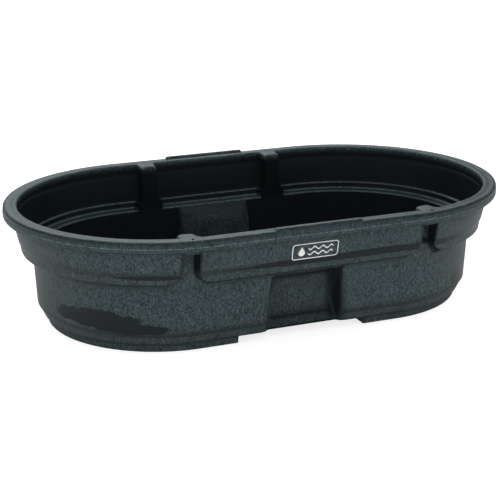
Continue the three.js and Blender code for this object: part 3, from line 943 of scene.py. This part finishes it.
# %% [markdown]
# ## The drain's boss and holes
#
# The wall is too thin and too curved for a screwed fitting, so the real moulding swells into a
# flat round boss where the drain passes. Here a short round bar is joined to the skin, and the
# bore, the flat seat for the washer and a small dimple above each channel are cut out of it with
# the Boolean modifier, which is how a drill press would do it.

# %% Boss, bore and seat
DRAIN_HEIGHT = 70 * MM
GAP = 0.3 * MM
BOSS_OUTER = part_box("drain_gasket")[0][0] - GAP
BOSS_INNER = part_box("drain_washer")[1][0] + GAP
BOSS_RADIUS, SEAT_RADIUS, BORE_RADIUS = 32 * MM, 28 * MM, 18.6 * MM
BOSS_FOAM = 0.8


def activate_and_apply(piece, modifier):
    """Apply a modifier for good."""
    activate(piece)
    bpy.ops.object.modifier_apply(modifier=modifier.name)


def round_bar(name, radius, start, end, bevel=0):
    """A round bar along X at the drain's height, with softened ends."""
    bpy.ops.mesh.primitive_cylinder_add(vertices=128, radius=radius, depth=end - start)
    bar = bpy.context.object
    bar.name = name
    bpy.ops.object.mode_set(mode="EDIT")
    bpy.ops.transform.rotate(value=math.pi / 2, orient_axis="Y", center_override=(0, 0, 0))
    bpy.ops.transform.translate(value=((start + end) / 2, 0, DRAIN_HEIGHT))
    bpy.ops.object.mode_set(mode="OBJECT")
    if bevel:
        apply_bevel(bar, bevel, 4)
    return bar


def apply_bevel(piece, width, segments):
    """Round the edges that are sharper than 40 degrees."""
    bevel = piece.modifiers.new("rounding", "BEVEL")
    bevel.width = width
    bevel.segments = segments
    bevel.limit_method = "ANGLE"
    bevel.angle_limit = math.radians(40)
    activate_and_apply(piece, bevel)


def combine(piece, tool, operation):
    """Join a tool to a piece or cut it away, and remove the tool."""
    boolean = piece.modifiers.new("boolean", "BOOLEAN")
    boolean.operation = operation
    boolean.object = tool
    boolean.solver = "EXACT"
    activate_and_apply(piece, boolean)
    bpy.data.objects.remove(tool)


boss = round_bar("boss", BOSS_RADIUS, BOSS_INNER, BOSS_OUTER, 1.5 * MM)
boss_foam = boss.data.attributes.new("foam_and_painted_light", "FLOAT", "POINT")
boss_foam.data.foreach_set("value", np.full(len(boss.data.vertices), BOSS_FOAM, np.float32))
combine(tank_skin, boss, "UNION")
combine(tank_skin, round_bar("bore", BORE_RADIUS, BOSS_INNER - 10 * MM, BOSS_OUTER + 5 * MM),
        "DIFFERENCE")
combine(tank_skin, round_bar("seat", SEAT_RADIUS, BOSS_INNER - 30 * MM, BOSS_INNER),
        "DIFFERENCE")
print("drain bore:", round(2 * BORE_RADIUS / MM, 1), "mm")

# %% Dimples in the rim
DIMPLE_RADIUS, DIMPLE_DEPTH = 3.5 * MM, 5 * MM
for side, channel in ((-1, NEAR_CHANNEL), (1, FAR_CHANNEL)):
    for end in (-1, 1):
        place = (end * channel * MM, side * (HALF_WIDTH - CREST * MM), RIM_TOP)
        bpy.ops.mesh.primitive_cylinder_add(vertices=32, radius=DIMPLE_RADIUS,
                                            depth=2 * DIMPLE_DEPTH, location=place)
        combine(tank_skin, bpy.context.object, "DIFFERENCE")
activate(tank_skin)
bpy.ops.object.shade_smooth_by_angle(angle=math.radians(48))
tank_skin.data.calc_loop_triangles()
print("tank skin:", len(tank_skin.data.loop_triangles), "triangles")

# %% [markdown]
# ## Rubber rings
#
# The gasket, the washer behind the nut and the plug's own seal are soft rings with rounded
# edges. A small rectangle with clipped corners is spun once round the drain's axis, as a lathe
# would turn it.

# %% Spun rings
THREAD_HOLE, RING_ROUNDING = 12.4 * MM, 0.7 * MM
CAD_HALF_FACET = math.pi / 32


def spun_ring(name, node):
    """A ring with rounded edges that fills a CAD ring's box."""
    low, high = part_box(node)
    outer = (high.y - low.y) / 2 / math.cos(CAD_HALF_FACET)
    inner = THREAD_HOLE if node == "plug_seal" else BORE_RADIUS
    bpy.ops.mesh.primitive_plane_add(size=1)
    ring = bpy.context.object
    ring.name = name
    bpy.ops.object.mode_set(mode="EDIT")
    bpy.ops.transform.resize(value=(high.x - low.x, outer - inner, 1))
    bpy.ops.transform.translate(value=((low.x + high.x) / 2, (outer + inner) / 2, DRAIN_HEIGHT))
    bpy.ops.mesh.bevel(offset=RING_ROUNDING, segments=4, affect="VERTICES")
    bpy.ops.mesh.delete(type="ONLY_FACE")
    bpy.ops.mesh.select_all(action="SELECT")
    bpy.ops.mesh.spin(steps=128, angle=2 * math.pi, center=(0, 0, DRAIN_HEIGHT), axis=(1, 0, 0))
    bpy.ops.mesh.select_all(action="SELECT")
    bpy.ops.mesh.remove_doubles(threshold=0.01 * MM)
    bpy.ops.mesh.normals_make_consistent(inside=False)
    bpy.ops.object.mode_set(mode="OBJECT")
    bpy.ops.object.shade_smooth_by_angle(angle=math.radians(50))
    print(name, "has", len(ring.data.polygons), "faces")
    return ring


gasket = spun_ring("flange_gasket", "drain_gasket")
washer = spun_ring("nut_washer", "drain_washer")
seal = spun_ring("plug_ring", "plug_seal")

# %% [markdown]
# ## Bushing, nut and plug
#
# The threaded pieces keep their solid models' shape, which has a true thread. Each copy is
# welded, its sharp edges are rounded as moulded nylon's are, and it is shaded smooth.

# %% Fitting pieces from their solid models
def finished_copy(name, node, width):
    """A copy of a CAD node's mesh with rounded edges and smooth shading."""
    piece = bpy.data.objects.new(name, bpy.data.objects[node].data.copy())
    piece.data.materials.clear()
    bpy.context.collection.objects.link(piece)
    activate(piece)
    bpy.ops.mesh.customdata_custom_splitnormals_clear()
    bpy.ops.object.mode_set(mode="EDIT")
    bpy.ops.mesh.select_all(action="SELECT")
    bpy.ops.mesh.remove_doubles(threshold=0.01 * MM)
    bpy.ops.mesh.dissolve_limited(angle_limit=math.radians(0.5))
    bpy.ops.mesh.normals_make_consistent(inside=False)
    bpy.ops.object.mode_set(mode="OBJECT")
    apply_bevel(piece, width, 3)
    bpy.ops.object.shade_smooth_by_angle(angle=math.radians(38))
    print(name, "has", len(piece.data.polygons), "faces")
    return piece


bushing = finished_copy("threaded_bushing", "drain_bushing", 0.25 * MM)
nut = finished_copy("lock_nut", "drain_locknut", 0.8 * MM)
plug = finished_copy("red_plug", "drain_plug", 0.25 * MM)

# %% [markdown]
# ## Finishes of the fitting
#
# Nylon fittings come out of their mould with a fine sparked grain. Rubber is duller, and a
# little dust dries on it. One group gives a grain, and each material asks it for its own size.

# %% Fitting materials
def grained(name, dark, light, roughness, scale, depth):
    """A moulded plastic or rubber: a fine grain that shows in colour, gloss and relief."""
    material, tree, shader = new_material(name, light, roughness)
    grain = add_group(tree, streak_group, Scale=scale, Stretch=1.0, Low=0.3, High=0.7)
    blotches = add_group(tree, streak_group, Scale=55.0, Stretch=1.0, Low=0.35, High=0.7)
    spots = add_math(tree, "MULTIPLY", grain.outputs["Streaks"], 0.5)
    both = add_math(tree, "MULTIPLY", blotches.outputs["Streaks"], 0.5)
    both = add_math(tree, "ADD", both, spots)
    tree.links.new(mix_colour(tree, both, dark, light), shader.inputs["Base Color"])
    rough = add_math(tree, "MULTIPLY", both, 0.16)
    rough = add_math(tree, "ADD", rough, roughness - 0.08)
    tree.links.new(rough, shader.inputs["Roughness"])
    bump = add_node(tree, "ShaderNodeBump", Strength=0.3, Distance=depth)
    tree.links.new(grain.outputs["Streaks"], bump.inputs["Height"])
    tree.links.new(bump.outputs["Normal"], shader.inputs["Normal"])
    return material


nylon = grained("black_nylon", (0.012, 0.012, 0.013), (0.024, 0.024, 0.026), 0.42, 2600, 0.0001)
red = grained("red_plastic", (0.3, 0.012, 0.009), (0.42, 0.022, 0.014), 0.38, 2200, 0.0001)
rubber = grained("rubber", (0.008, 0.008, 0.008), (0.03, 0.029, 0.027), 0.68, 1500, 0.0002)
for piece, material in ((bushing, nylon), (nut, nylon), (plug, red), (gasket, rubber),
                        (washer, rubber), (seal, rubber)):
    piece.data.materials.append(material)
print("materials:", [nylon.name, red.name, rubber.name])

# %% [markdown]
# ## The printed mark
#
# A maker prints one mark on the band in white. This one is a plain pictogram for *water* in a
# thin rounded frame: a drop and two waves. It is drawn flat, given the thickness of a coat of
# ink, and then tilted to lie on the band's slope.

# %% Mark on the band
MARK_LENGTH, MARK_HEIGHT = 122 * MM, 42 * MM
MARK_CORNER, MARK_LINE = 8 * MM, 2.2 * MM


def flat_start(name, length, height, place):
    """A rectangle in the drawing plane, left in edit mode with everything selected."""
    bpy.ops.mesh.primitive_plane_add(size=1)
    piece = bpy.context.object
    piece.name = name
    bpy.ops.object.mode_set(mode="EDIT")
    bpy.ops.transform.resize(value=(length, height, 1))
    bpy.ops.transform.translate(value=(*place, 0))
    return piece


mark = flat_start("printed_mark", MARK_LENGTH, MARK_HEIGHT, (0, 0))
bpy.ops.mesh.bevel(offset=MARK_CORNER, segments=8, affect="VERTICES")
bpy.ops.mesh.inset(thickness=MARK_LINE)
bpy.ops.mesh.delete(type="FACE")
bpy.ops.object.mode_set(mode="OBJECT")

print("frame:", round(MARK_LENGTH / MM), "x", round(MARK_HEIGHT / MM), "mm")

# %% Drop and waves
DROP_RADIUS, DROP_TAPER = 9 * MM, 0.75
DROP_LEFT, DROP_DOWN = 36 * MM, 3 * MM
WAVE_LENGTH, WAVE_LINE, WAVE_MIDDLE = 66 * MM, 3.4 * MM, 14 * MM
WAVE_SWING, WAVE_PERIOD = 3.6 * MM, 22 * MM
bpy.ops.mesh.primitive_circle_add(vertices=48, radius=DROP_RADIUS, fill_type="NGON")
drop = bpy.context.object
for corner in drop.data.vertices:
    up = max(0, corner.co.y / DROP_RADIUS)
    corner.co.x = corner.co.x * (1 - DROP_TAPER * up ** 1.5) - DROP_LEFT
    corner.co.y = corner.co.y * (1 + DROP_TAPER * up) - DROP_DOWN

strokes = [drop]
for level in (-7 * MM, 7 * MM):
    wave = flat_start("wave", WAVE_LENGTH, WAVE_LINE, (WAVE_MIDDLE, level))
    bpy.ops.mesh.subdivide(number_cuts=47)
    bpy.ops.object.mode_set(mode="OBJECT")
    for corner in wave.data.vertices:
        turn = 2 * math.pi * (corner.co.x - WAVE_MIDDLE) / WAVE_PERIOD
        corner.co.y += WAVE_SWING * math.sin(turn)
    strokes.append(wave)
print("strokes in the frame:", len(strokes))

# %% Ink laid on the band
INK, INK_PROUD = 0.4 * MM, 0.1 * MM
activate(mark)
for stroke in strokes:
    stroke.select_set(True)
bpy.ops.object.join()
ink = mark.modifiers.new("ink", "SOLIDIFY")
ink.thickness = INK
ink.offset = 0
activate_and_apply(mark, ink)
mark_centre = (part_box("label")[0].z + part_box("label")[1].z) / 2
lean = math.atan2(band_inset(BAND_BOTTOM) - band_inset(BAND_TOP), BAND_TOP - BAND_BOTTOM)
stand = math.pi / 2 + lean
spot = Vector((0, band_inset(mark_centre) - HALF_WIDTH - INK_PROUD, mark_centre))
for corner in mark.data.vertices:
    x, y, z = corner.co
    corner.co = spot + Vector((x, y * math.cos(stand) - z * math.sin(stand),
                               y * math.sin(stand) + z * math.cos(stand)))
activate(mark)
bpy.ops.object.mode_set(mode="EDIT")
bpy.ops.mesh.select_all(action="SELECT")
bpy.ops.mesh.normals_make_consistent(inside=False)
bpy.ops.object.mode_set(mode="OBJECT")
white = grained("white_ink", (0.5, 0.51, 0.5), (0.86, 0.87, 0.86), 0.5, 900, 0.00005)
mark.data.materials.append(white)
print("mark spans", [round(value, 3) for value in mark.dimensions])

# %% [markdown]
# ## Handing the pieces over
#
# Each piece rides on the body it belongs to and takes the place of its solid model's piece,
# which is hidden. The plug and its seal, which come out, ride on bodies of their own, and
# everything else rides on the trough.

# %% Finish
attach(tank_skin, "trough")
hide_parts("tank_body")
for piece, node, body, slot in (
        (mark, "label", "trough", "label"),
        (bushing, "drain_bushing", "trough", "fitting"),
        (nut, "drain_locknut", "trough", "fitting"),
        (gasket, "drain_gasket", "trough", "rubber"),
        (washer, "drain_washer", "trough", "rubber"),
        (seal, "plug_seal", "seal", "rubber"),
        (plug, "drain_plug", "plug", "plug")):
    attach(piece, body)
    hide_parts(node)
